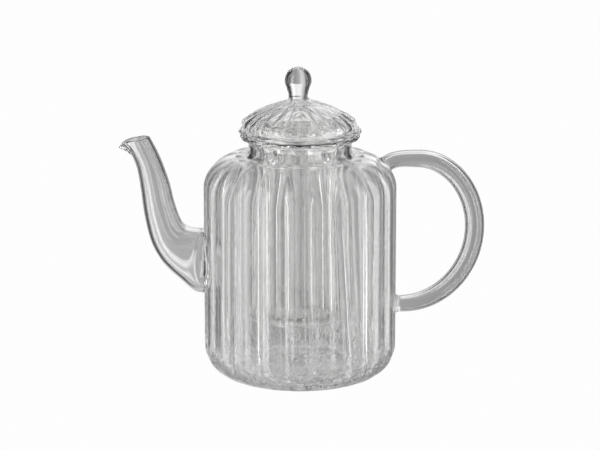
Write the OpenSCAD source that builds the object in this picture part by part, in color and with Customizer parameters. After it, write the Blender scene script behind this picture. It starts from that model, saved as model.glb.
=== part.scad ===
// Ribbed glass teapot with a lift-out glass infuser and a lift-off glass lid.
// +Z is up, the origin is the middle of the foot, the spout points to -X and the handle to +X.

/* [Pot] */
// Radius of the wall over the rib crests
body_r = 50; // [46:0.5:54]
// Height at which the straight wall gives way to the shoulder
wall_top = 99; // [93:0.5:105]
// Radius of the rounded corner above the foot
corner_r = 15.5; // [13:0.5:17]
// Rise of the shoulder from the wall to the neck
shoulder_h = 17.5; // [16:0.5:19]
// Radius of the neck over the rib crests
neck_r = 26.6; // [26.5:0.1:27.2]
// Height of the pot's rim above the shoulder
rim_rise = 11.2; // [11:0.1:12]
// Radius of the pot's rim
rim_r = 31; // [30.5:0.1:31.5]
// Thickness of the blown neck
wall = 1.8; // [1.5:0.1:2]
// Thickness of the pot's wall at the crest of each rib
crest_wall = 1.2; // [1:0.1:1.6]
// Number of ribs round the pot and the lid
ribs = 20; // [16:4:24]
// Depth of the valleys between the ribs of the pot
rib_depth = 1.2; // [0.6:0.1:1.3]
// Depth of the ridges that the valleys raise inside, where the wall is thickest
inner_rib_depth = 2.5; // [1.5:0.1:2.6]

/* [Spout] */
// Radius of the spout where it meets the wall
spout_root_r = 16.6; // [15:0.2:17]
// Radius of the spout at its mouth
spout_mouth_r = 6.2; // [5.8:0.1:6.8]
// Thickness of the spout's wall
spout_wall = 1.5; // [1.3:0.1:1.8]
// How far the pouring lip stands out from the mouth
lip_reach = 5.8; // [4.6:0.2:6.4]

/* [Handle] */
// Radius of the handle's tube at its widest
handle_r = 5; // [4.8:0.1:5.5]
// Radius of the handle's tube at its ends
handle_end_r = 4.2; // [4:0.1:4.6]
// Thickness of the handle's wall
handle_wall = 1.3; // [1:0.1:1.6]
// Length of the solid weld that joins each end to the pot
weld_len = 2.6; // [2:0.1:3.5]

/* [Infuser] */
// Radius of the infuser over its rib crests
infuser_r = 24.2; // [23.6:0.1:24.4]
// Height of the infuser's floor above the table
infuser_floor = 29; // [24:1:36]
// Thickness of the infuser's neck
infuser_wall = 1.5; // [1.3:0.1:1.7]
// Thickness of the infuser's wall at the crest of each rib
infuser_crest_wall = 1; // [0.9:0.1:1.3]
// Number of ribs round the infuser
infuser_ribs = 20; // [12:4:24]
// Depth of the valleys between the infuser's ribs
infuser_rib_depth = 0.7; // [0.4:0.1:0.8]
// Depth of the ridges inside the infuser
infuser_inner_rib = 1.5; // [1:0.1:1.6]
// Radius of the holes in the infuser's floor
strainer_hole_r = 0.9; // [0.7:0.1:1.1]

/* [Lid] */
// Radius of the lid over its rib crests
lid_r = 29.8; // [29.2:0.1:30.2]
// Height of the lid from its seat to the foot of the knob
dome_rise = 15.2; // [14:0.2:16.4]
// Thickness of the lid
lid_wall = 1.8; // [1.5:0.1:2]
// Depth of the valleys between the lid's ribs
lid_rib_depth = 0.9; // [0.5:0.1:1.1]
// Depth of the ridges inside the lid
lid_inner_rib = 1.7; // [1.1:0.1:1.8]
// Radius of the knob
knob_r = 7; // [6.5:0.1:7.6]
// Depth of the locating ring under the lid
ring_depth = 9; // [7:0.5:11]
// How far the loose lid sits towards the spout from the middle
lid_shift = 0.5; // [0:0.1:0.6]
// Turn of the lid about its axis
lid_turn = -5; // [-9:1:9]

/* [Hidden] */
clear_glass = [0.84, 0.87, 0.87, 0.45];
// Flat facets across each rib, and round each tube
rib_steps = 4;
handle_sides = 20;
spout_sides = 40;
// Play where one piece rests on, or is fused to, another
seat_gap = 0.15;
joint_gap = 0.1;

foot_r = body_r - corner_r;
foot_w = 5;
punt = 1.2;
shoulder_r = neck_r + 3;
shoulder_top = wall_top + shoulder_h;
rim_z = shoulder_top + rim_rise;
neck_rib = 0.8 * rib_depth;
floor_t = 2.6;

// ---------- profiles, as lists of [radius, height, depth of the rib valleys] ----------

function arc(c, r, from, to, steps, rib_from, rib_to) =
    [for (i = [0 : steps])
        let (t = i / steps, a = from + (to - from) * t)
        [c[0] + r[0] * cos(a), c[1] + r[1] * sin(a), rib_from + (rib_to - rib_from) * t]];

function reversed(list) = [for (i = [len(list) - 1 : -1 : 0]) list[i]];

function moved_up(list, dz) = [for (p = list) [p[0], p[1] + dz, p[2]]];

// The outside of the pot, from its foot up to its rim
pot_outside = concat(
    arc([foot_r, corner_r], [corner_r, corner_r], -90, 0, 7, 0, rib_depth),
    [[body_r, (corner_r + wall_top) / 2, rib_depth]],
    arc([shoulder_r, wall_top], [body_r - shoulder_r, shoulder_h], 0, 84, 8, rib_depth, neck_rib),
    arc([shoulder_r + 0.6, shoulder_top + 3], [3.6, 3.2], 258, 180, 3, neck_rib, neck_rib),
    arc([neck_r + 4.6, shoulder_top + 4.4], [4.6, 4.8], 172, 125, 3, neck_rib, 0.4),
    arc([rim_r - 1.2, rim_z - 1.2], [1.2, 1.2], -50, 90, 4, 0.3, 0));

// The inside of the pot, from its rim down to its floor
pot_inside = concat(
    arc([rim_r - 1.4, rim_z - 1.1], [1.1, 1.1], 90, 150, 2, 0, 0.1),
    arc([neck_r + 4.6, shoulder_top + 5.4], [4.6 + wall, 4.6], 125, 180, 3, 0.2, 0.2),
    arc([shoulder_r + 0.6, shoulder_top + 3], [3.6 + wall, 3.2 + wall], 180, 262, 3, 0.2, 0.6),
    arc([shoulder_r, wall_top], [body_r - shoulder_r - crest_wall, shoulder_h - crest_wall], 82, 0, 7,
        0.8, inner_rib_depth),
    [[body_r - crest_wall, (corner_r + wall_top) / 2, inner_rib_depth]],
    arc([foot_r, corner_r + 0.4], [corner_r - crest_wall, corner_r - floor_t], 0, -90, 6, inner_rib_depth, 0));

// Radius of the pot's outer surface at a height, in a direction round the axis
crest_table = [for (p = pot_outside) [p[1], p[0]]];
rib_table = [for (p = pot_outside) [p[1], p[2]]];
function rib_shape(a, n) = let (f = a * n / 360, u = 2 * abs(f - round(f))) u * u;
function pot_radius(p) =
    lookup(p[2], crest_table) - lookup(p[2], rib_table) * rib_shape(atan2(p[1], p[0]), ribs);

// How far along direction d from p the pot's outer surface lies, by bisection
function reach(p, d, near, far, n = 18) =
    let (mid = (near + far) / 2, q = p + mid * d)
    n == 0 ? mid
    : norm([q[0], q[1]]) < pot_radius(q) ? reach(p, d, mid, far, n - 1) : reach(p, d, near, mid, n - 1);
function on_pot(p, d) = p + (reach(p, d, -14, 14) + joint_gap) * d;

// The cup of the infuser and the dome of the lid, outside and inside
infuser_rim_z = rim_z + seat_gap;
infuser_rim_r = rim_r + 0.8;
infuser_corner = 5;
infuser_outside = concat(
    [[infuser_r - infuser_corner, infuser_floor, 0]],
    arc([infuser_r - infuser_corner, infuser_floor + infuser_corner], [infuser_corner, infuser_corner],
        -72, 0, 4, 0.2, infuser_rib_depth),
    [[infuser_r, shoulder_top + 1, infuser_rib_depth]],
    [[infuser_r, shoulder_top + 5, 0.2]],
    arc([infuser_rim_r - 3.2, infuser_rim_z - 3.4], [infuser_rim_r - infuser_r - 3.2, 3.4], 168, 90, 4, 0.1, 0),
    arc([infuser_rim_r - 1.1, infuser_rim_z + 1.1], [1.1, 1.1], -90, 90, 5, 0, 0));
infuser_inside = concat(
    [[infuser_r + 1.6, infuser_rim_z + 2.2, 0]],
    arc([infuser_r + 1.6, infuser_rim_z - 1.6], [1.6 + infuser_wall, 3.8], 120, 180, 3, 0, 0),
    [[infuser_r - infuser_wall, shoulder_top + 4, 0.2]],
    [[infuser_r - infuser_crest_wall, shoulder_top - 6, infuser_inner_rib]],
    [[infuser_r - infuser_crest_wall, infuser_floor + infuser_corner + 1, infuser_inner_rib]],
    arc([infuser_r - infuser_corner, infuser_floor + infuser_corner],
        [infuser_corner - infuser_crest_wall, infuser_corner - 1.8], 0, -90, 4, infuser_inner_rib, 0));

lid_seat = infuser_rim_z + 2.2 + seat_gap;
dome_edge = lid_seat + 3.4;
lid_top = lid_seat + dome_rise;
lid_outside = concat(
    [[lid_r - 1.8, lid_seat, 0.1]],
    arc([lid_r - 2.5, lid_seat + 2.7], [2.5, 2.5], -55, 50, 5, 0.4, lid_rib_depth),
    [[lid_r * 0.89, dome_edge + 3.0, lid_rib_depth]],
    [[lid_r * 0.74, dome_edge + 5.5, lid_rib_depth]],
    [[lid_r * 0.59, dome_edge + 7.6, lid_rib_depth]],
    [[lid_r * 0.36, dome_edge + 10.2, 0.7 * lid_rib_depth]],
    [[lid_r * 0.22, dome_edge + 11.2, 0.4 * lid_rib_depth]],
    [[lid_r * 0.12, lid_top, 0]]);
lid_inside = concat(
    [[lid_r * 0.12, lid_top - lid_wall, 0]],
    [[lid_r * 0.36, dome_edge + 10.6 - lid_wall, 0.5 * lid_inner_rib]],
    [[lid_r * 0.59, dome_edge + 8.0 - lid_wall, lid_inner_rib]],
    [[lid_r * 0.74, dome_edge + 5.8 - lid_wall, lid_inner_rib]],
    arc([lid_r - 4.4, lid_seat + 1.7], [1.9, 1.9], 50, -10, 2, 0.7 * lid_inner_rib, 0.1),
    [[lid_r - 2.9, lid_seat, 0]]);
// ---------- turned shells with ribs ----------

function turned_ring(p, n) =
    let (sides = n * rib_steps)
    [for (i = [0 : sides - 1])
        let (a = 360 * i / sides, r = p[0] - p[2] * rib_shape(a, n))
        [r * cos(a), r * sin(a), p[1]]];

// Triangles between ring k and ring m of a list of rings, with base points before the first ring
function band(k, m, sides, base = 0) =
    [for (i = [0 : sides - 1])
        let (j = (i + 1) % sides, a = base + k * sides, b = base + m * sides)
        each [[a + i, b + i, b + j], [a + i, b + j, a + j]]];

function fan(tip, k, sides, base, up) =
    [for (i = [0 : sides - 1])
        let (a = base + k * sides + i, b = base + k * sides + (i + 1) % sides)
        up ? [tip, b, a] : [tip, a, b]];

// A closed shell turned from a profile that starts and ends on the axis
module turned_shell(profile, first_z, last_z, n) {
    sides = n * rib_steps;
    count = len(profile);
    points = concat([[0, 0, first_z]], [for (p = profile) each turned_ring(p, n)], [[0, 0, last_z]]);
    faces = concat(
        fan(0, 0, sides, 1, false),
        [for (k = [0 : count - 2]) each band(k, k + 1, sides, 1)],
        fan(count * sides + 1, count - 1, sides, 1, true));
    polyhedron(points, faces, convexity = 8);
}

// ---------- swept tubes ----------

function bezier(b, t) =
    pow(1 - t, 3) * b[0] + 3 * pow(1 - t, 2) * t * b[1] + 3 * (1 - t) * t * t * b[2] + t * t * t * b[3];
function bezier_dir(b, t) =
    let (d = pow(1 - t, 2) * (b[1] - b[0]) + 2 * (1 - t) * t * (b[2] - b[1]) + t * t * (b[3] - b[2]))
    d / norm(d);

// A ring of points square to direction d, which lies in the XZ plane
function tube_ring(c, d, r, sides) =
    let (side = [d[2], 0, -d[0]])
    [for (i = [0 : sides - 1])
        let (a = 360 * i / sides)
        c + r * cos(a) * side + [0, r * sin(a), 0]];

// A hollow tube through its outer rings and then back through its inner rings
module hollow_sweep(outer, inner) {
    rings = concat(outer, reversed(inner));
    count = len(rings);
    faces = [for (k = [0 : count - 1]) each band(k, (k + 1) % count, len(rings[0]))];
    polyhedron([for (r = rings) each r], faces, convexity = 8);
}

// A solid plug through a list of rings, closed by a fan at each end
module solid_sweep(rings, first_tip, last_tip) {
    count = len(rings);
    sides = len(rings[0]);
    points = concat([first_tip], [for (r = rings) each r], [last_tip]);
    faces = concat(
        fan(0, 0, sides, 1, false),
        [for (k = [0 : count - 2]) each band(k, k + 1, sides, 1)],
        fan(count * sides + 1, count - 1, sides, 1, true));
    polyhedron(points, faces, convexity = 4);
}

// ---------- spout ----------

spout_z = 60.1;
root_offset = 1.5;
// Points along the spout: [distance out from the wall, height above the root, radius, tilt of the section]
spout_knots = [[-2, 0, spout_root_r, 0], [3.2, 0.4, spout_root_r - 0.1, 3], [7.2, 3.4, 14.3, 18], [12.3, 6.5, 12.4, 27],
               [16.4, 10.2, 11, 36], [20, 16.8, 10, 47], [23, 28, 8.6, 64], [25.2, 40.5, 7.6, 76],
               [28.4, 52.6, 6.6, 71], [33.4, 63.7, spout_mouth_r, 65]];
last_knot = len(spout_knots) - 1;

// Smooth interpolation through the knots at s from 0 to 1
function knot(i) = spout_knots[min(last_knot, max(0, i))];
function spout_mid(s) =
    let (k = min(last_knot - 1, floor(s * last_knot)), t = s * last_knot - k,
         p = knot(k), q = knot(k + 1), dp = (q - knot(k - 1)) / 2, dq = (knot(k + 2) - p) / 2)
    (2 * pow(t, 3) - 3 * t * t + 1) * p + (pow(t, 3) - 2 * t * t + t) * dp
    + (3 * t * t - 2 * pow(t, 3)) * q + (pow(t, 3) - t * t) * dq;
spout_stations = concat([for (i = [2 : 14]) i / 18], [0.83, 0.89, 0.93, 0.955, 0.975, 0.99, 1]);

// The lip: the mouth is levelled, and its front edge drawn out into a beak that dips at the tip
function lip_shape(p, c, s) =
    let (w = s < 0.93 ? 0 : pow((s - 0.93) / 0.07, 1.6), f = (c[0] - p[0]) / spout_mouth_r, front = max(0, f))
    p + w * [-lip_reach * front * front, -0.2 * p[1] * front, 1 + 1.7 * f - 6.6 * pow(front, 6)];

function spout_ring(s, inset) =
    let (m = spout_mid(s), c = [-body_r - m[0], 0, spout_z + m[1]])
    [for (p = tube_ring(c, [-cos(m[3]), 0, sin(m[3])], m[2] - inset, spout_sides)) lip_shape(p, c, s)];
// A ring round the root that follows the ribs of the wall at a given distance out from it
function root_ring(r, out) =
    [for (p = tube_ring([-body_r, 0, spout_z], [-1, 0, 0], r, spout_sides)) on_pot(p, [-1, 0, 0]) - [out, 0, 0]];

// ---------- handle ----------

handle_top = [43.3, 0, 110.7];
handle_bottom = [49.9, 0, 36.8];
handle_top_dir = [cos(33), 0, sin(33)];
handle_bottom_dir = [1, 0, 0];
top_end = handle_top + weld_len * handle_top_dir;
bottom_end = handle_bottom + weld_len * handle_bottom_dir;
handle_peak = [61, 0, 114.4];
handle_far = [body_r + 40.8, 0, 78.4];
handle_curves = [
    [top_end, top_end + 5.2 * handle_top_dir, handle_peak - [6, 0, 0], handle_peak],
    [handle_peak, handle_peak + [16.6, 0, 0], handle_far + [0, 0, 19.6], handle_far],
    [handle_far, handle_far - [0, 0, 22.2], bottom_end + 21.4 * handle_bottom_dir, bottom_end]];
handle_stations = concat([for (i = [0 : 4]) [0, i / 5]], [for (i = [0 : 8]) [1, i / 9]], [for (i = [0 : 10]) [2, i / 10]]);
// The tube swells slowly from each end to the middle of its bend
function handle_swell(c) = min(1, max(0, (c[0] - 50) / 36));
function handle_radius(c) = handle_end_r + (handle_r - handle_end_r) * sin(90 * handle_swell(c));
function handle_ring(k, inset) =
    let (b = handle_curves[k[0]], c = bezier(b, k[1]))
    tube_ring(c, bezier_dir(b, k[1]), handle_radius(c) - inset, handle_sides);

module weld(start, dir, end) {
    foot = [for (r = [0.3, 0.65, 1])
        [for (p = tube_ring(start, dir, r * (handle_end_r + 0.7), handle_sides)) on_pot(p, dir)]];
    waist = tube_ring(start + 0.7 * (end - start), dir, handle_end_r + 0.1, handle_sides);
    tip = tube_ring(end - joint_gap * dir, dir, handle_end_r, handle_sides);
    solid_sweep(concat(foot, [waist, tip]), on_pot(start, dir), end - joint_gap * dir);
}

// ---------- the pieces ----------

// The mould-blown pot: foot, ribbed wall, shoulder, neck and rim, with the opening into the spout
module pot_body() {
    color(clear_glass)
    difference() {
        turned_shell(concat([[foot_r - foot_w - 1.5, punt, 0], [foot_r - foot_w, 0, 0]], pot_outside, pot_inside),
                     punt, punt + 1.9, ribs);
        translate([-body_r - 6, 0, spout_z])
            rotate([0, 90, 0])
                cylinder(h = 14, r = spout_root_r - spout_wall - 0.8, $fn = 64);
    }
}

// The seam of glass that fuses the spout to the ribbed wall
module spout_weld() {
    color(clear_glass)
    hollow_sweep([root_ring(spout_root_r + 0.5, 0), root_ring(spout_root_r + 0.35, 0.7),
                  root_ring(spout_root_r, root_offset - joint_gap)],
                 [root_ring(spout_root_r - spout_wall, 0), root_ring(spout_root_r - spout_wall, 0.7),
                  root_ring(spout_root_r - spout_wall, root_offset - joint_gap)]);
}

// The drawn spout, from its root to its pouring lip
module spout() {
    color(clear_glass)
    hollow_sweep(concat([root_ring(spout_root_r, root_offset)], [for (s = spout_stations) spout_ring(s, 0)]),
                 concat([root_ring(spout_root_r - spout_wall, root_offset)],
                        [for (s = spout_stations) spout_ring(s, s < 1 ? spout_wall : 0.7 * spout_wall)]));
}

// The bent hollow tube of the handle
module handle_tube() {
    color(clear_glass)
    hollow_sweep([for (k = handle_stations) handle_ring(k, 0)], [for (k = handle_stations) handle_ring(k, handle_wall)]);
}

module handle_top_weld() {
    color(clear_glass) weld(handle_top, handle_top_dir, top_end);
}

module handle_bottom_weld() {
    color(clear_glass) weld(handle_bottom, handle_bottom_dir, bottom_end);
}

// The ribbed cup that hangs in the neck, with rings of holes through its floor
module infuser_cup() {
    color(clear_glass)
    difference() {
        turned_shell(concat(infuser_outside, infuser_inside), infuser_floor, infuser_floor + 1.8, infuser_ribs);
        for (ring = [0 : 3], i = [0 : max(1, 6 * ring) - 1])
            rotate([0, 0, 360 * i / max(1, 6 * ring)])
                translate([4.6 * ring, 0, infuser_floor - 1])
                    cylinder(h = 4, r = strainer_hole_r, $fn = 24);
    }
}

// The ribbed dome of the lid, with its rolled edge
module lid_dome() {
    color(clear_glass)
    translate([-lid_shift, 0, 0])
        rotate([0, 0, lid_turn])
            turned_shell(concat(lid_inside, lid_outside), lid_top - lid_wall, lid_top, ribs);
}

// The plain glass ring that drops into the infuser and keeps the lid on while pouring
ring_r = infuser_r - infuser_wall - 1.3;
module lid_locating_ring() {
    color(clear_glass)
    translate([-lid_shift, 0, 0])
    rotate_extrude($fn = 96)
        polygon([[ring_r - 1.5, lid_seat - ring_depth + 0.5], [ring_r - 0.75, lid_seat - ring_depth],
                 [ring_r, lid_seat - ring_depth + 0.5], [ring_r, lid_seat + 2.5], [ring_r - 1.5, lid_seat + 3.2]]);
}

// The solid pear-shaped knob
knob_foot = lid_top + 1.3;
ball_z = knob_foot + 8.9;
knob_shift = 0.5;
module lid_knob() {
    color(clear_glass)
    translate([-lid_shift - knob_shift, 0, 0])
    rotate_extrude($fn = 96)
        polygon(concat([[0, knob_foot]],
                       [[4.9, knob_foot], [5.0, knob_foot + 1.2], [5.75, knob_foot + 4.3]],
                       [for (a = [-21 : 9 : 78]) [knob_r * cos(a), ball_z + knob_r * sin(a)]],
                       [[0, ball_z + knob_r]]));
}

// The bead of glass that fuses the knob to the dome
module lid_knob_weld() {
    color(clear_glass)
    translate([-lid_shift - knob_shift, 0, 0])
    rotate_extrude($fn = 96)
        polygon([[0, lid_top], [lid_r * 0.12 - 0.1, lid_top], [4.6, lid_top + 0.1], [5.4, lid_top + 0.5],
                 [5.5, lid_top + 0.9], [5.1, lid_top + 1.3], [0, lid_top + 1.3]]);
}

pot_body();
spout_weld();
spout();
handle_tube();
handle_top_weld();
handle_bottom_weld();
infuser_cup();
lid_dome();
lid_locating_ring();
lid_knob();
lid_knob_weld();
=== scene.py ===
"""A ribbed glass teapot with a lift-out glass infuser and a lift-off glass lid.

+Z is up, the foot stands on z = 0, the spout points to -X and the handle to +X.
Shapes are worked out in millimetres, and mesh_from() turns them into metres.
Every piece is closed glass and stands for one CAD node.
"""
import math

import bpy
import bmesh
import numpy as np
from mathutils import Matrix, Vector, noise


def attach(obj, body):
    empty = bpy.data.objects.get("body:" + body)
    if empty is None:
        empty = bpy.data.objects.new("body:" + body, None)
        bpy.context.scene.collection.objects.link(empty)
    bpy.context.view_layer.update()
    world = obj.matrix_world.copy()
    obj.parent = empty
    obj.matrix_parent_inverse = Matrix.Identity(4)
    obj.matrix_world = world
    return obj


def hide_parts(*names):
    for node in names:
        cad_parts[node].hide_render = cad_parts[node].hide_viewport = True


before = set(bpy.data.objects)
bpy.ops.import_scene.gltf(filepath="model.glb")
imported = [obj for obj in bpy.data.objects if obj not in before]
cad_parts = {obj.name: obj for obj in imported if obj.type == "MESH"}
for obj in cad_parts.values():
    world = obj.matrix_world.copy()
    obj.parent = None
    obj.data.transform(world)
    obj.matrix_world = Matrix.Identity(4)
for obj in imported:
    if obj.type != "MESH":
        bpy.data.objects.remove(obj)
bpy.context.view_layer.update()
scene = bpy.context.scene
MM = 0.001

# ---------- driving sizes, in millimetres and degrees ----------

RIBS = 20
BODY_R, WALL_TOP, CORNER_R, SHOULDER_H = 50.0, 99.0, 15.5, 17.5
NECK_R, RIM_RISE, RIM_R, WALL = 26.6, 11.2, 31.0, 1.8
RIB_DEPTH, NECK_RIB = 1.2, 1.4
# The mould leaves the wall thin at each rib's crest and thick at each valley
CREST_WALL, INNER_RIB = 1.2, 2.5
# The floor's inner face is 2 mm higher here than in the CAD, to give the foot its thick glass
FOOT_R, FOOT_W, PUNT, FLOOR_T = 34.5, 5.0, 1.2, 4.6
BASE_LUMPS, INFUSER_LUMPS, LUMP_SEED = 1.1, 0.2, 5
# One valley strays as it comes down the wall: where it is, how far it leans, over what width, all in degrees
STRAY_VALLEY, STRAY_LEAN, STRAY_WIDTH, STRAY_DROP = -63, 6.5, 13, 80
HAND_LEAN = 0.6
TIP_R = 0.5
SHOULDER_R = NECK_R + 3.0
SHOULDER_TOP = WALL_TOP + SHOULDER_H
RIM_Z = SHOULDER_TOP + RIM_RISE

SPOUT_Z, SPOUT_ROOT_R, SPOUT_MOUTH_R, SPOUT_WALL = 60.1, 16.6, 6.2, 1.5
ROOT_OFFSET, LIP_REACH = 1.5, 5.8
HANDLE_R, HANDLE_END_R, HANDLE_WALL, WELD_LEN = 5.0, 4.2, 1.3, 2.6
JOINT_GAP, SEAT_GAP = 0.1, 0.15

INFUSER_R, INFUSER_FLOOR, INFUSER_WALL = 24.2, 29.0, 1.5
INFUSER_RIB, INFUSER_CORNER, HOLE_R, HOLE_PITCH = 0.7, 5.0, 0.9, 4.6
INFUSER_RIM_Z, INFUSER_RIM_R = RIM_Z + SEAT_GAP, RIM_R + 0.8

LID_R, DOME_RISE, LID_WALL, LID_RIB = 29.8, 15.2, 1.8, 1.2
LID_SEAT = INFUSER_RIM_Z + 2.2 + SEAT_GAP
DOME_EDGE, LID_TOP = LID_SEAT + 3.4, LID_SEAT + DOME_RISE
LID_SHIFT, LID_TURN, KNOB_SHIFT, KNOB_R = -0.5, -5.0, -0.5, 7.0
RING_R, RING_DEPTH = INFUSER_R - INFUSER_WALL - 1.3, 9.0


# ---------- small maths ----------

def cosd(a):
    return math.cos(math.radians(a))


def sind(a):
    return math.sin(math.radians(a))


def arc(centre, radii, start, end, steps, rib=(0.0, 0.0)):
    """Points [radius, height, depth of the rib valleys] along an elliptical arc."""
    return [[centre[0] + radii[0] * cosd(start + (end - start) * i / steps),
             centre[1] + radii[1] * sind(start + (end - start) * i / steps),
             rib[0] + (rib[1] - rib[0]) * i / steps] for i in range(steps + 1)]


def refined(profile, longest, below=None, fine=0.8):
    """The profile with extra points, so that neighbours are at most longest apart, or fine below a height."""
    dense = [profile[0]]
    for p, q in zip(profile, profile[1:]):
        reach = fine if below is not None and min(p[1], q[1]) < below else longest
        parts = max(1, math.ceil(math.hypot(q[0] - p[0], q[1] - p[1]) / reach))
        dense += [[a + (b - a) * k / parts for a, b in zip(p, q)] for k in range(1, parts + 1)]
    return np.array(dense)


def rib_shape(f, power=2.0):
    """How deep a rib is at f ribs round the axis: 0 on its broad crest, 1 in the narrow foot of a valley."""
    u = 2 * np.abs(f - np.round(f))
    edge = 0.93
    t = np.clip((u - edge) / (1 - edge), 0, 1)
    rise = power * edge**(power - 1) * (1 - edge) / 2
    return np.where(u < edge, u**power, edge**power + rise * (2 * t - t * t))


def wobble(angle, height, seed):
    """A slow hand-made unevenness, mostly between -1 and 1, that closes on itself round the axis."""
    rng = np.random.default_rng(seed)
    total = 0
    for k in range(1, 6):
        turns, phase, rise = rng.integers(k, 3 * k + 1), rng.uniform(0, 6.28), rng.uniform(-0.014, 0.014) * k
        total = total + np.sin(turns * angle + rise * height + phase) / (1.3 + 0.4 * k)
    return total


# ---------- meshes ----------

def grid_faces(rows, sides, loop=False):
    """Quads between neighbouring rings of points; with loop, the last ring meets the first."""
    i = np.arange(sides)
    j = (i + 1) % sides
    quads = []
    for k in range(rows if loop else rows - 1):
        m = (k + 1) % rows
        quads.append(np.stack([k * sides + i, k * sides + j, m * sides + j, m * sides + i], 1))
    return np.concatenate(quads).tolist()


def mesh_from(name, rings, node, body, loop=False, sharp=50):
    """A closed glass piece from rings of points in mm: a loop, or a row closed by a tip at each end."""
    rings = np.asarray(rings, float)
    rows, sides = rings.shape[:2]
    points = rings.reshape(-1, 3)
    faces = grid_faces(rows, sides, loop)
    if not loop:
        tips = [rings[0].mean(0), rings[-1].mean(0)]
        points = np.concatenate([points, tips])
        for tip, k in ((rows * sides, 0), (rows * sides + 1, rows - 1)):
            faces += [[tip, k * sides + i, k * sides + (i + 1) % sides] for i in range(sides)]
    mesh = bpy.data.meshes.new(name)
    mesh.from_pydata((points * MM).tolist(), [], faces)
    tidy = bmesh.new()
    tidy.from_mesh(mesh)
    bmesh.ops.recalc_face_normals(tidy, faces=tidy.faces)
    tidy.to_mesh(mesh)
    tidy.free()
    mesh.shade_smooth()
    mesh.set_sharp_from_angle(angle=math.radians(sharp))
    piece = bpy.data.objects.new(name, mesh)
    scene.collection.objects.link(piece)
    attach(piece, body)
    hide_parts(node)
    piece.visible_shadow = False
    return piece


def drilled(piece, holes, sharp=50):
    """Cuts straight round holes through a piece; each is (start, end, radius) in mm."""
    points, faces, sides = [], [], 64
    for start, end, radius in holes:
        start, end = Vector(start), Vector(end)
        turn = (end - start).to_track_quat("Z", "Y")
        first = len(points)
        for centre in (start, end):
            angles = [360 * i / sides for i in range(sides)]
            points += [centre + turn @ Vector((radius * cosd(a), radius * sind(a), 0)) for a in angles]
        faces += [[first + i, first + (i + 1) % sides, first + sides + (i + 1) % sides, first + sides + i]
                  for i in range(sides)]
        faces.append(list(range(first + sides - 1, first - 1, -1)))
        faces.append(list(range(first + sides, first + 2 * sides)))
    mesh = bpy.data.meshes.new("drill")
    mesh.from_pydata([tuple(p * MM) for p in points], [], faces)
    drill = bpy.data.objects.new("drill", mesh)
    scene.collection.objects.link(drill)
    cut = piece.modifiers.new("holes", "BOOLEAN")
    cut.operation, cut.solver, cut.object = "DIFFERENCE", "MANIFOLD", drill
    bpy.context.view_layer.update()
    carved = bpy.data.meshes.new_from_object(piece.evaluated_get(bpy.context.evaluated_depsgraph_get()))
    piece.modifiers.clear()
    piece.data = carved
    carved.shade_smooth()
    carved.set_sharp_from_angle(angle=math.radians(sharp))
    bpy.data.objects.remove(drill)


# ---------- the pot ----------

pot_outside = (
    arc([FOOT_R, CORNER_R], [CORNER_R, CORNER_R], -90, 0, 16, (0, RIB_DEPTH))
    + arc([SHOULDER_R, WALL_TOP], [BODY_R - SHOULDER_R, SHOULDER_H], 0, 84, 20, (RIB_DEPTH, NECK_RIB))
    + arc([SHOULDER_R + 0.6, SHOULDER_TOP + 3], [3.6, 3.2], 258, 180, 6, (NECK_RIB, NECK_RIB))
    + arc([NECK_R + 4.6, SHOULDER_TOP + 4.4], [4.6, 4.8], 172, 125, 6, (NECK_RIB, 0.7))
    + arc([RIM_R - 1.2, RIM_Z - 1.2], [1.2, 1.2], -50, 90, 9, (0.6, 0)))
pot_inside = (
    arc([RIM_R - 1.4, RIM_Z - 1.1], [1.1, 1.1], 90, 150, 4, (0, 0.1))
    + arc([NECK_R + 4.6, SHOULDER_TOP + 5.4], [4.6 + WALL, 4.6], 125, 180, 6, (0.2, 0.2))
    + arc([SHOULDER_R + 0.6, SHOULDER_TOP + 3], [3.6 + WALL, 3.2 + WALL], 180, 262, 6, (0.2, 0.6))
    + arc([SHOULDER_R, WALL_TOP], [BODY_R - SHOULDER_R - CREST_WALL, SHOULDER_H - CREST_WALL], 82, 0, 20,
          (0.8, INNER_RIB))
    + [[BODY_R - CREST_WALL, 26, INNER_RIB]]
    + arc([FOOT_R, CORNER_R + 0.4], [CORNER_R - CREST_WALL, CORNER_R - FLOOR_T], 0, -90, 16, (INNER_RIB, 0)))
pot_foot = [[TIP_R, PUNT, 0], [FOOT_R - FOOT_W - 1.5, PUNT, 0], [FOOT_R - FOOT_W - 0.6, 0.5, 0],
            [FOOT_R - FOOT_W, 0, 0]]

CREST = np.array([[p[1], p[0]] for p in pot_outside])
VALLEY = np.array([[p[1], p[2]] for p in pot_outside])


def rib_columns(ribs):
    """Places round the axis, in ribs, close together at the valleys where the glass bends most."""
    half = np.array([0, 0.17, 0.33, 0.47, 0.59, 0.69, 0.78, 0.85, 0.90, 0.94, 0.975]) / 2
    one = np.concatenate([half, [0.5], 1 - half[:0:-1]])
    return np.concatenate([k + one for k in range(ribs)])


def valley_drift(f, height, ribs):
    """How far, in degrees, the ribs lean as they come down: one valley strays, the rest barely."""
    down = np.clip((WALL_TOP - height) / STRAY_DROP, 0, 1)
    angle = 360 * f / ribs
    off = (angle - STRAY_VALLEY + 180) % 360 - 180
    stray = STRAY_LEAN * np.exp(-(off / STRAY_WIDTH) ** 2)
    return down * stray + HAND_LEAN * wobble(np.radians(angle), height, 3)


def ribbed_rings(profile, ribs, drift=None, uneven=0.0, seed=1, turn=0.0, shift=0.0):
    """Rings turned from a profile of [radius, height, rib depth]."""
    f = rib_columns(ribs)
    rings = []
    for r, z, depth in profile:
        angle = 360 * f / ribs + turn + (drift(f, z, ribs) if drift else 0)
        a = np.radians(angle)
        radius = r - depth * rib_shape(f) - (uneven * (1 + wobble(a, z, seed)) if depth > 0 else 0)
        rings.append(np.stack([radius * np.cos(a) + shift, radius * np.sin(a), np.full_like(a, z)], 1))
    return rings


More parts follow.
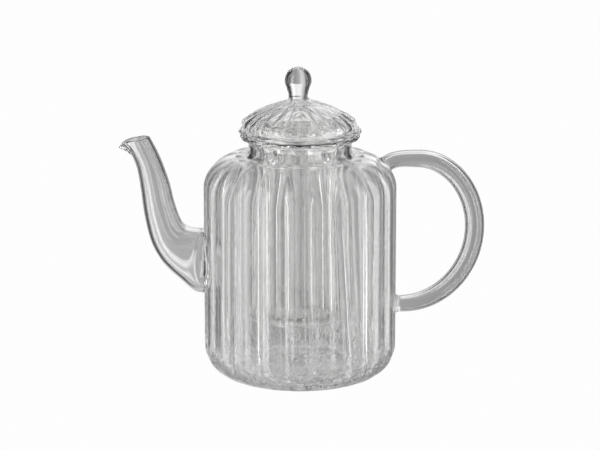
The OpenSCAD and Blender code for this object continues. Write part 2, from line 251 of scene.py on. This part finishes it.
def lumpy(rings, size, depth, full, top):
    """The rings with lumps of a size and depth in mm: full up to one height, gone at the next."""
    noise.seed_set(LUMP_SEED)
    rings = np.asarray(rings, float)
    edge_size, edge_depth = 4.0, 1.5
    for ring in rings:
        for point in ring:
            edge = edge_depth * noise.noise(Vector(point / edge_size))
            amount = min(1.0, max(0.0, (top + edge - point[2]) / (top - full)))
            if amount > 0:
                point += amount * depth * np.array(noise.noise_vector(Vector(point / size)))
    return list(rings)


def pot_body():
    outside = refined(pot_foot + pot_outside, 4)
    inside = refined(pot_inside + [[TIP_R, CORNER_R + 0.4 - (CORNER_R - FLOOR_T), 0]], 4, 26, 1.1)
    outer = ribbed_rings(outside, RIBS, valley_drift, 0.03, 11)
    inner = ribbed_rings(inside, RIBS, valley_drift, 0.06, 12)
    inner = lumpy(inner, 2.2, BASE_LUMPS, 17, 21)
    piece = mesh_from("pot_body_glass", outer + inner, "pot_body", "pot", sharp=60)
    passage_r, reach = SPOUT_ROOT_R - SPOUT_WALL - 0.8, 8
    drilled(piece, [((-BODY_R - reach, 0, SPOUT_Z), (-BODY_R + reach, 0, SPOUT_Z), passage_r)], 60)
    return piece


# ---------- swept tubes ----------

def section(centre, normal, radius, sides):
    """A round section square to a direction that lies in the XZ plane."""
    a = np.radians(360 * np.arange(sides) / sides)
    side = np.array([normal[2], 0, -normal[0]])
    across = np.array([0, 1, 0])
    return np.asarray(centre) + radius * (np.cos(a)[:, None] * side + np.sin(a)[:, None] * across)


def on_pot(points, direction):
    """The points moved along a direction until they lie a joint's gap outside the pot's wall."""
    points, direction = np.asarray(points, float), np.asarray(direction, float)
    near, far = np.full(len(points), -14.0), np.full(len(points), 14.0)
    for _ in range(22):
        middle = (near + far) / 2
        q = points + middle[:, None] * direction
        f = np.degrees(np.arctan2(q[:, 1], q[:, 0])) * RIBS / 360
        wall = np.interp(q[:, 2], *CREST.T) - np.interp(q[:, 2], *VALLEY.T) * rib_shape(f)
        inside = np.hypot(q[:, 0], q[:, 1]) < wall
        near, far = np.where(inside, middle, near), np.where(inside, far, middle)
    return points + ((near + far) / 2 + JOINT_GAP)[:, None] * direction


# ---------- the spout ----------

# Knots along the spout: distance out from the wall, height above its root, radius, tilt of the section
SPOUT_KNOTS = np.array([
    [-2, 0, SPOUT_ROOT_R, 0], [3.2, 0.4, SPOUT_ROOT_R - 0.1, 3], [7.2, 3.4, 14.3, 18], [12.3, 6.5, 12.4, 27],
    [16.4, 10.2, 11, 36], [20, 16.8, 10, 47], [23, 28, 8.6, 64], [25.2, 40.5, 7.6, 76],
    [28.4, 52.6, 6.6, 71], [33.4, 63.7, SPOUT_MOUTH_R, 65]])
SPOUT_SIDES = 88


def spout_middle(s):
    """Smooth interpolation through the knots at s from 0 to 1."""
    last = len(SPOUT_KNOTS) - 1
    k = min(last - 1, int(s * last))
    t = s * last - k
    p, q = SPOUT_KNOTS[k], SPOUT_KNOTS[k + 1]
    dp = (q - SPOUT_KNOTS[max(0, k - 1)]) / 2
    dq = (SPOUT_KNOTS[min(last, k + 2)] - p) / 2
    return ((2 * t**3 - 3 * t**2 + 1) * p + (t**3 - 2 * t**2 + t) * dp
            + (3 * t**2 - 2 * t**3) * q + (t**3 - t**2) * dq)


def spout_ring(s, inset):
    """A section of the spout. Near the mouth it is levelled and its front drawn out to a dipping beak."""
    out, rise, radius, tilt = spout_middle(s)
    centre = np.array([-BODY_R - out, 0, SPOUT_Z + rise])
    ring = section(centre, (-cosd(tilt), 0, sind(tilt)), radius - inset, SPOUT_SIDES)
    weight = max(0, (s - 0.93) / 0.07) ** 1.6
    front = (centre[0] - ring[:, 0]) / SPOUT_MOUTH_R
    beak = np.clip(front, 0, None)
    level_and_dip = 1 + 1.7 * front - 6.6 * beak**6
    ring += weight * np.stack([-LIP_REACH * beak**2, -0.2 * ring[:, 1] * beak, level_and_dip], 1)
    return ring


def root_ring(radius, out):
    """A ring round the spout's root, at a distance out from the ribbed wall."""
    ring = section((-BODY_R, 0, SPOUT_Z), (-1, 0, 0), radius, SPOUT_SIDES)
    return on_pot(ring, (-1, 0, 0)) - np.array([out, 0, 0])


def spout():
    stations = np.concatenate([np.arange(0.085, 0.93, 0.015), np.linspace(0.93, 1, 12)])
    wall = [SPOUT_WALL * (1 - 0.3 * max(0, (s - 0.9) / 0.1)) for s in stations]
    outer = [root_ring(SPOUT_ROOT_R, ROOT_OFFSET)] + [spout_ring(s, 0) for s in stations]
    inner = [root_ring(SPOUT_ROOT_R - SPOUT_WALL, ROOT_OFFSET)]
    inner += [spout_ring(s, w) for s, w in zip(stations, wall)]
    # The edge of the mouth is rounded over by the flame
    edge = (outer[-1] + inner[-1]) / 2
    outward = (outer[-1] - outer[-2]) / np.linalg.norm(outer[-1] - outer[-2], axis=1)[:, None]
    outer[-1] = outer[-1] * 0.9 + edge * 0.1
    inner[-1] = inner[-1] * 0.9 + edge * 0.1
    rings = outer + [edge + 0.25 * outward] + inner[::-1]
    return mesh_from("spout_glass", rings, "spout", "pot", loop=True, sharp=75)


def spout_weld():
    rims = [(SPOUT_ROOT_R + 0.5, 0.02), (SPOUT_ROOT_R + 0.48, 0.35), (SPOUT_ROOT_R + 0.3, 0.75),
            (SPOUT_ROOT_R + 0.1, 1.15), (SPOUT_ROOT_R, ROOT_OFFSET - JOINT_GAP)]
    inner = SPOUT_ROOT_R - SPOUT_WALL
    bore = [(inner, ROOT_OFFSET - JOINT_GAP), (inner, 0.7), (inner, 0.02)]
    return mesh_from("spout_weld_glass", [root_ring(r, out) for r, out in rims + bore], "spout_weld", "pot",
                     loop=True, sharp=70)


# ---------- the handle ----------

handle_top, handle_top_dir = np.array([43.3, 0, 110.7]), np.array([cosd(33), 0, sind(33)])
handle_bottom, handle_bottom_dir = np.array([49.9, 0, 36.8]), np.array([1.0, 0, 0])
top_end = handle_top + WELD_LEN * handle_top_dir
bottom_end = handle_bottom + WELD_LEN * handle_bottom_dir
peak, far_point = np.array([61.0, 0, 114.4]), np.array([BODY_R + 40.8, 0, 78.4])
HANDLE_CURVES = [
    [top_end, top_end + 5.2 * handle_top_dir, peak - [6, 0, 0], peak],
    [peak, peak + [16.6, 0, 0], far_point + [0, 0, 19.6], far_point],
    [far_point, far_point - [0, 0, 22.2], bottom_end + 21.4 * handle_bottom_dir, bottom_end]]


def bezier(b, t):
    point = (1 - t)**3 * b[0] + 3 * (1 - t)**2 * t * b[1] + 3 * (1 - t) * t * t * b[2] + t**3 * b[3]
    way = (1 - t)**2 * (b[1] - b[0]) + 2 * (1 - t) * t * (b[2] - b[1]) + t * t * (b[3] - b[2])
    return point, way / np.linalg.norm(way)


def handle_ring(curve, t, inset):
    """A section of the handle, which swells slowly from each end to the middle of its bend."""
    centre, way = bezier(curve, t)
    swell = np.clip((centre[0] - 50) / 36, 0, 1)
    radius = HANDLE_END_R + (HANDLE_R - HANDLE_END_R) * sind(90 * swell)
    return section(centre, way, radius - inset, 48)


def handle_tube():
    curve_steps = (14, 36, 42)
    stops = [(curve, t) for curve, steps in zip(HANDLE_CURVES, curve_steps) for t in np.arange(steps) / steps]
    stops.append((HANDLE_CURVES[-1], 1.0))
    outer = [handle_ring(c, t, 0) for c, t in stops]
    inner = [handle_ring(c, t, HANDLE_WALL) for c, t in stops]
    return mesh_from("handle_tube_glass", outer + inner[::-1], "handle_tube", "pot",
                     loop=True, sharp=70)


def handle_weld(name, start, way, end):
    """A solid plug of glass between the ribbed wall and one end of the handle's tube."""
    sides = 48
    flare = 0.7
    foot_radii = (0.3, HANDLE_END_R * 0.5, HANDLE_END_R, HANDLE_END_R + flare)
    foot = [on_pot(section(start, way, r, sides), way) for r in foot_radii]
    length = np.linalg.norm(end - start)
    waist = [section(start + way * length * t, way, HANDLE_END_R + flare * (1 - t) ** 3, sides)
             for t in (0.6, 0.75, 0.9)]
    tip = [section(end - JOINT_GAP * way, way, r, sides) for r in (HANDLE_END_R, 2.0, 0.3)]
    return mesh_from(name + "_glass", foot + waist + tip, name, "pot", sharp=70)


# ---------- the infuser ----------

THIN_WALL, INFUSER_INNER_RIB = 1.0, 1.5
corner = [INFUSER_R - INFUSER_CORNER, INFUSER_FLOOR + INFUSER_CORNER]
infuser_outside = (
    [[0.5, INFUSER_FLOOR, 0], [INFUSER_R - INFUSER_CORNER, INFUSER_FLOOR, 0]]
    + arc(corner, [INFUSER_CORNER, INFUSER_CORNER], -72, 0, 9, (0.2, INFUSER_RIB))
    + [[INFUSER_R, SHOULDER_TOP + 1, INFUSER_RIB], [INFUSER_R, SHOULDER_TOP + 5, 0.2]]
    + arc([INFUSER_RIM_R - 3.2, INFUSER_RIM_Z - 3.4], [INFUSER_RIM_R - INFUSER_R - 3.2, 3.4],
          168, 90, 7, (0.1, 0))
    + arc([INFUSER_RIM_R - 1.1, INFUSER_RIM_Z + 1.1], [1.1, 1.1], -90, 90, 10, (0.65, 0.65)))
infuser_inside = (
    [[INFUSER_R + 1.6, INFUSER_RIM_Z + 2.2, 0]]
    + arc([INFUSER_R + 1.6, INFUSER_RIM_Z - 1.6], [1.6 + INFUSER_WALL, 3.8], 120, 180, 6)
    + [[INFUSER_R - INFUSER_WALL, SHOULDER_TOP + 4, 0.2],
       [INFUSER_R - THIN_WALL, SHOULDER_TOP - 6, INFUSER_INNER_RIB],
       [INFUSER_R - THIN_WALL, INFUSER_FLOOR + 15, INFUSER_INNER_RIB],
       [INFUSER_R - THIN_WALL, INFUSER_FLOOR + 10.5, INFUSER_INNER_RIB]]
    + arc([INFUSER_R - 8.5, INFUSER_FLOOR + 9.5], [8.5 - THIN_WALL, 7.3], 0, -90, 12, (INFUSER_INNER_RIB, 0))
    + [[0.5, INFUSER_FLOOR + 2.2, 0]])


def infuser_cup():
    outer = ribbed_rings(refined(infuser_outside, 4), RIBS, None, 0.02, 21)
    inner = ribbed_rings(refined(infuser_inside, 4, 44), RIBS, None, 0.03, 22)
    inner = lumpy(inner, 2.0, INFUSER_LUMPS, 39, 41.5)
    piece = mesh_from("infuser_cup_glass", outer + inner, "infuser_cup", "infuser", sharp=60)
    holes = []
    for ring in range(4):
        count = max(1, 6 * ring)
        for i in range(count):
            x, y = HOLE_PITCH * ring * cosd(360 * i / count), HOLE_PITCH * ring * sind(360 * i / count)
            holes.append(((x, y, INFUSER_FLOOR - 1), (x, y, INFUSER_FLOOR + 4), HOLE_R))
    drilled(piece, holes, 60)
    return piece


# ---------- the lid ----------

lid_outside = (
    [[LID_R - 1.8, LID_SEAT, 0.1]]
    + arc([LID_R - 2.5, LID_SEAT + 2.7], [2.5, 2.5], -55, 50, 10, (0.4, LID_RIB))
    + [[LID_R * 0.89, DOME_EDGE + 3.0, 1.2 * LID_RIB], [LID_R * 0.74, DOME_EDGE + 5.5, 1.5 * LID_RIB],
       [LID_R * 0.59, DOME_EDGE + 7.6, 1.6 * LID_RIB], [LID_R * 0.36, DOME_EDGE + 10.2, 1.3 * LID_RIB],
       [LID_R * 0.22, DOME_EDGE + 11.2, 0.4 * LID_RIB], [LID_R * 0.12, LID_TOP, 0], [0.3, LID_TOP, 0]])
lid_inside = (
    [[0.3, LID_TOP - LID_WALL, 0], [LID_R * 0.12, LID_TOP - LID_WALL, 0],
     [LID_R * 0.36, DOME_EDGE + 10.6 - LID_WALL, 1.8], [LID_R * 0.59, DOME_EDGE + 8.0 - LID_WALL, 2.7],
     [LID_R * 0.74, DOME_EDGE + 5.8 - LID_WALL, 2.5]]
    + arc([LID_R - 4.4, LID_SEAT + 1.7], [1.9, 1.9], 50, -10, 6, (1.2, 0.1))
    + [[LID_R - 2.9, LID_SEAT, 0]])


def smoothed(profile, points):
    """The profile rounded by a Catmull-Rom curve, with a number of points to each step."""
    p = np.array([profile[0]] + list(profile) + [profile[-1]], float)
    dense = []
    for k in range(1, len(p) - 2):
        a, b, da, db = p[k], p[k + 1], (p[k + 1] - p[k - 1]) / 2, (p[k + 2] - p[k]) / 2
        for t in np.arange(points) / points:
            dense.append((2 * t**3 - 3 * t**2 + 1) * a + (t**3 - 2 * t**2 + t) * da
                         + (3 * t**2 - 2 * t**3) * b + (t**3 - t**2) * db)
    return dense + [p[-1]]


def lid_dome():
    split = 11
    outside = lid_outside[:split] + smoothed(lid_outside[split:-2], 5) + lid_outside[-2:]
    inside = lid_inside[:1] + smoothed(lid_inside[1:5], 5) + lid_inside[5:]
    rings = ribbed_rings(refined(inside + outside, 2.5), RIBS, None, 0.02, 31, LID_TURN, LID_SHIFT)
    return mesh_from("lid_dome_glass", rings, "lid_dome", "lid", sharp=60)


def turned_rings(profile, sides, shift=0.0):
    a = np.radians(360 * np.arange(sides) / sides)
    return [np.stack([r * np.cos(a) + shift, r * np.sin(a), np.full(sides, z)], 1) for r, z in profile]


def lid_locating_ring():
    low, high, inner = LID_SEAT - RING_DEPTH, LID_SEAT + 2.5, RING_R - 1.5
    foot = [p[:2] for p in arc([RING_R - 0.75, low + 0.75], [0.75, 0.75], 180, 360, 10)]
    profile = foot + [[RING_R, low + 4], [RING_R, high], [inner, high + 0.7], [inner, low + 4]]
    rings = turned_rings(profile, 128, LID_SHIFT)
    return mesh_from("lid_locating_ring_glass", rings, "lid_locating_ring", "lid",
                     loop=True, sharp=60)


def lid_knob():
    foot, ball = LID_TOP + 1.3, LID_TOP + 10.2
    ball_start = [[KNOB_R * cosd(a), ball + KNOB_R * sind(a)] for a in (-21, -12)]
    stem = [[4.9, foot], [4.92, foot + 0.6], [5.0, foot + 1.2], [5.35, foot + 2.8], [5.75, foot + 4.3]]
    waist = smoothed(stem + ball_start, 5)
    crown = [p[:2] for p in arc([0, ball], [KNOB_R, KNOB_R], -9, 88, 40)]
    profile = [[0.3, foot], [2.5, foot]] + [list(p) for p in waist] + crown
    return mesh_from("lid_knob_glass", turned_rings(profile, 128, LID_SHIFT + KNOB_SHIFT), "lid_knob", "lid",
                     sharp=60)


def lid_knob_weld():
    middle = LID_TOP + 0.65
    edge = [p[:2] for p in arc([4.9, middle], [0.6, 0.6], -90, 90, 12)]
    profile = [[0.3, LID_TOP + 0.05]] + edge + [[0.3, LID_TOP + 1.25]]
    rings = turned_rings(profile, 96, LID_SHIFT + KNOB_SHIFT / 2)
    return mesh_from("lid_knob_weld_glass", rings, "lid_knob_weld", "lid", sharp=60)


# ---------- materials ----------

def node(tree, kind, inputs=None, **settings):
    """A shader node; an input takes a value, or the output of another node to link to."""
    made = tree.nodes.new(kind)
    for key, value in settings.items():
        setattr(made, key, value)
    for key, value in (inputs or {}).items():
        if isinstance(value, bpy.types.NodeSocket):
            tree.links.new(value, made.inputs[key])
        else:
            made.inputs[key].default_value = value
    return made


def ramp(tree, factor, stops, interpolation="EASE"):
    """A colour ramp through (place, grey or colour) stops."""
    made = node(tree, "ShaderNodeValToRGB", {"Fac": factor})
    band = made.color_ramp
    band.interpolation = interpolation
    while len(band.elements) < len(stops):
        band.elements.new(0.5)
    for element, (place, value) in zip(band.elements, stops):
        element.position = place
        element.color = (*value, 1) if isinstance(value, tuple) else (value, value, value, 1)
    return made.outputs["Color"]


def blended(tree, factor, first, second):
    """first where factor is 0, second where it is 1."""
    mix = node(tree, "ShaderNodeMix", data_type="RGBA")
    for socket, source in zip((0, 6, 7), (factor, first, second)):
        tree.links.new(source, mix.inputs[socket])
    return mix.outputs[2]


def under(tree, place, height):
    """1 well under a height in mm, 0 above it, with a soft step between."""
    rise = node(tree, "ShaderNodeSeparateXYZ", {"Vector": place}).outputs["Z"]
    step = 4
    return node(tree, "ShaderNodeMapRange", {"Value": rise, "From Min": height * MM,
                                             "From Max": (height - step) * MM}).outputs[0]


def bumpy(tree, height, depth, strength=1.0, normal=None):
    """A bump as deep as depth, in mm, on top of an earlier one."""
    inputs = {"Height": height, "Strength": strength, "Distance": depth * MM}
    if normal:
        inputs["Normal"] = normal
    return node(tree, "ShaderNodeBump", inputs).outputs[0]


def noise_at(tree, place, scale, detail, roughness=0.5):
    """Noise between 0 and 1, with scale waves to a metre."""
    return node(tree, "ShaderNodeTexNoise", {"Vector": place, "Scale": float(scale), "Detail": detail,
                                             "Roughness": roughness}).outputs["Fac"]


GLASS_IOR = 1.473
CLEAR, GREY, DEEP = (0.985, 0.986, 0.984), (0.952, 0.954, 0.95), (0.88, 0.885, 0.878)


def glass(name, tint, waves, wave_depth, swirl=0.0, sparkle=None, deep=None):
    """Clear borosilicate glass.

    tint is the palest and the deepest colour between which the melt varies. waves is how many ripples
    there are to a metre, and wave_depth how deep they are in mm. swirl adds finer draw lines along the
    height. sparkle is the height in mm below which the glass is finely lumpy. deep is the height below
    which it is darker, which stands in for the thick glass there.
    """
    material = bpy.data.materials.new(name)
    material.use_nodes = True
    tree = material.node_tree
    tree.nodes.clear()
    place = node(tree, "ShaderNodeTexCoord").outputs["Object"]
    melt = noise_at(tree, place, 35, 3.0)
    colour = ramp(tree, melt, [(0.3, tint[0]), (0.7, tint[1])])
    if deep:
        colour = blended(tree, under(tree, place, deep), colour, ramp(tree, melt, [(0.3, DEEP), (0.7, GREY)]))
    bump = bumpy(tree, noise_at(tree, place, waves, 2.0, 0.4), wave_depth)
    if swirl:
        drawn = node(tree, "ShaderNodeMapping", {"Vector": place, "Scale": (1, 1, 0.03)}).outputs[0]
        bump = bumpy(tree, noise_at(tree, drawn, 420, 2.0), swirl, normal=bump)
    if sparkle:
        bump = bumpy(tree, noise_at(tree, place, 750, 1.0), 0.2, under(tree, place, sparkle), bump)
    film = noise_at(tree, place, 60, 4.0)
    rough = node(tree, "ShaderNodeMapRange", {"Value": film, "From Min": 0.35, "From Max": 0.75,
                                              "To Min": 0.0, "To Max": 0.012}).outputs[0]
    shader = node(tree, "ShaderNodeBsdfPrincipled", {
        "Base Color": colour, "Roughness": rough, "Normal": bump,
        "Transmission Weight": 1.0, "IOR": GLASS_IOR})
    output = node(tree, "ShaderNodeOutputMaterial", {"Surface": shader.outputs[0]})
    output.is_active_output = True
    return material


pot_glass = glass("pot_glass", (CLEAR, GREY), waves=60, wave_depth=0.01, swirl=0.006, sparkle=20)
tube_glass = glass("tube_glass", (CLEAR, GREY), waves=45, wave_depth=0.008)
infuser_glass = glass("infuser_glass", (CLEAR, GREY), waves=90, wave_depth=0.01, swirl=0.012, deep=41)
lid_glass = glass("lid_glass", (CLEAR, GREY), waves=230, wave_depth=0.035, swirl=0.006)
knob_glass = glass("knob_glass", (CLEAR, CLEAR), waves=80, wave_depth=0.004)
seam_glass = glass("seam_glass", (CLEAR, GREY), waves=300, wave_depth=0.03)

FINISH = {"pot_body": pot_glass, "spout": tube_glass, "handle_tube": tube_glass, "spout_weld": seam_glass,
          "handle_top_weld": seam_glass, "handle_bottom_weld": seam_glass, "infuser_cup": infuser_glass,
          "lid_dome": lid_glass, "lid_locating_ring": lid_glass, "lid_knob": knob_glass,
          "lid_knob_weld": seam_glass}

pieces = {
    "pot_body": pot_body(), "spout": spout(), "spout_weld": spout_weld(), "handle_tube": handle_tube(),
    "handle_top_weld": handle_weld("handle_top_weld", handle_top, handle_top_dir, top_end),
    "handle_bottom_weld": handle_weld("handle_bottom_weld", handle_bottom, handle_bottom_dir, bottom_end),
    "infuser_cup": infuser_cup(), "lid_dome": lid_dome(), "lid_locating_ring": lid_locating_ring(),
    "lid_knob": lid_knob(), "lid_knob_weld": lid_knob_weld()}
for name, piece in pieces.items():
    piece.data.materials.clear()
    piece.data.materials.append(FINISH[name])


# ---------- floor, light and camera ----------

def floor_plane():
    """A pale floor that the camera sees; the glass itself looks out at the studio's own tones."""
    mesh = bpy.data.meshes.new("floor")
    reach = 6.0
    mesh.from_pydata([(-reach, -reach, -0.0004), (reach, -reach, -0.0004), (reach, reach, -0.0004),
                      (-reach, reach, -0.0004)], [], [[0, 1, 2, 3]])
    floor = bpy.data.objects.new("floor", mesh)
    scene.collection.objects.link(floor)
    material = bpy.data.materials.new("pale_floor")
    material.use_nodes = True
    tree = material.node_tree
    tree.nodes.clear()
    glow = node(tree, "ShaderNodeEmission", {"Color": (0.985, 0.985, 0.985, 1), "Strength": 1.0})
    node(tree, "ShaderNodeOutputMaterial", {"Surface": glow.outputs[0]})
    mesh.materials.append(material)
    for ray in ("diffuse", "glossy", "transmission", "shadow", "volume_scatter"):
        setattr(floor, "visible_" + ray, False)


def around(tree, turn, tones):
    """Tones by bearing in degrees: 0 is straight behind the teapot, 90 is +X, 180 is the camera's side."""
    return ramp(tree, turn, [(0.5 + bearing / 360, tone) for bearing, tone in tones])


LEFT_CARDS = [(-180, 0.06), (-142, 0.06), (-136, 4.2), (-122, 4.2), (-116, 0.06), (-104, 0.06),
              (-97, 2.6), (-82, 2.6)]
RIGHT_CARDS = [(80, 2.8), (96, 2.8), (104, 0.06), (134, 0.06),
               (141, 2.4), (148, 2.4), (156, 0.06), (180, 0.06)]
TABLE_TONES = LEFT_CARDS + [
    (-75, 0.05), (-62, 0.18), (-50, 0.18), (-44, 0.02), (-36, 0.02), (-27, 0.16), (-17, 0.64), (-9, 0.62),
    (0, 0.40), (8, 0.32), (20, 0.37), (28, 0.10), (36, 0.02), (44, 0.02),
    (52, 0.18), (68, 0.18)] + RIGHT_CARDS
BACKDROP_TONES = LEFT_CARDS + [
    (-75, 0.05), (-62, 0.26), (-50, 0.26), (-42, 0.02), (-30, 0.02), (-20, 0.55), (-6, 0.95), (6, 0.9),
    (16, 1.1), (21, 0.8), (30, 0.03), (42, 0.03), (52, 0.26), (68, 0.26)] + RIGHT_CARDS
OVERHEAD_TONES = [(-180, 0.4), (-100, 0.03), (-35, 0.04), (0, 0.7), (50, 1.2), (110, 0.9), (180, 0.4)]


def studio():
    """What the glass sees, by direction: a grey table below, a pale backdrop, cards, dark gaps between them.

    The camera itself sees plain white instead.
    """
    world = bpy.data.worlds.new("studio")
    scene.world = world
    world.use_nodes = True
    tree = world.node_tree
    tree.nodes.clear()
    way = node(tree, "ShaderNodeTexCoord").outputs["Generated"]
    parts = node(tree, "ShaderNodeSeparateXYZ", {"Vector": way})
    bearing = node(tree, "ShaderNodeMath", {0: parts.outputs["X"], 1: parts.outputs["Y"]},
                   operation="ARCTAN2")
    turn = node(tree, "ShaderNodeMapRange", {"Value": bearing.outputs[0], "From Min": -math.pi,
                                             "From Max": math.pi}).outputs[0]
    up = node(tree, "ShaderNodeMath", {0: parts.outputs["Z"]}, operation="ARCSINE")
    height = node(tree, "ShaderNodeMapRange", {"Value": up.outputs[0], "From Min": -math.pi / 2,
                                               "From Max": math.pi / 2}).outputs[0]
    ceiling = ramp(tree, height, [(0.0, 0.0), (0.70, 0.0), (0.76, 1.0), (1.0, 1.0)])
    sky = blended(tree, ceiling, around(tree, turn, BACKDROP_TONES), around(tree, turn, OVERHEAD_TONES))
    above = ramp(tree, height, [(0.498, 0.0), (0.504, 1.0)])
    seen = blended(tree, above, around(tree, turn, TABLE_TONES), sky)
    tones = node(tree, "ShaderNodeBackground", {"Color": seen, "Strength": 1.0})
    plain = node(tree, "ShaderNodeBackground", {"Color": (0.985, 0.985, 0.985, 1), "Strength": 1.0})
    ray = node(tree, "ShaderNodeLightPath")
    pick = node(tree, "ShaderNodeMixShader", {0: ray.outputs["Is Camera Ray"], 1: tones.outputs[0],
                                              2: plain.outputs[0]})
    node(tree, "ShaderNodeOutputWorld", {"Surface": pick.outputs[0]})


CAMERA_RISE, CAMERA_DISTANCE, CAMERA_LENS = 13.7, 1.4, 161.5
AIM = Vector((0, 0, 0.079))


def camera():
    lens = bpy.data.cameras.new("camera")
    lens.lens, lens.sensor_width = CAMERA_LENS, 36.0
    lens.clip_start, lens.clip_end = 0.01, 50.0
    eye = bpy.data.objects.new("camera", lens)
    scene.collection.objects.link(eye)
    back = Vector((0, -cosd(CAMERA_RISE), sind(CAMERA_RISE)))
    eye.location = AIM + CAMERA_DISTANCE * back
    eye.rotation_euler = (-back).to_track_quat("-Z", "Y").to_euler()
    scene.camera = eye


floor_plane()
studio()
camera()

scene.view_settings.view_transform = "Standard"
scene.view_settings.look = "None"
scene.cycles.max_bounces = 40
scene.cycles.transmission_bounces = 40
scene.cycles.glossy_bounces = 20
scene.cycles.use_denoising = True
scene.cycles.caustics_refractive = True
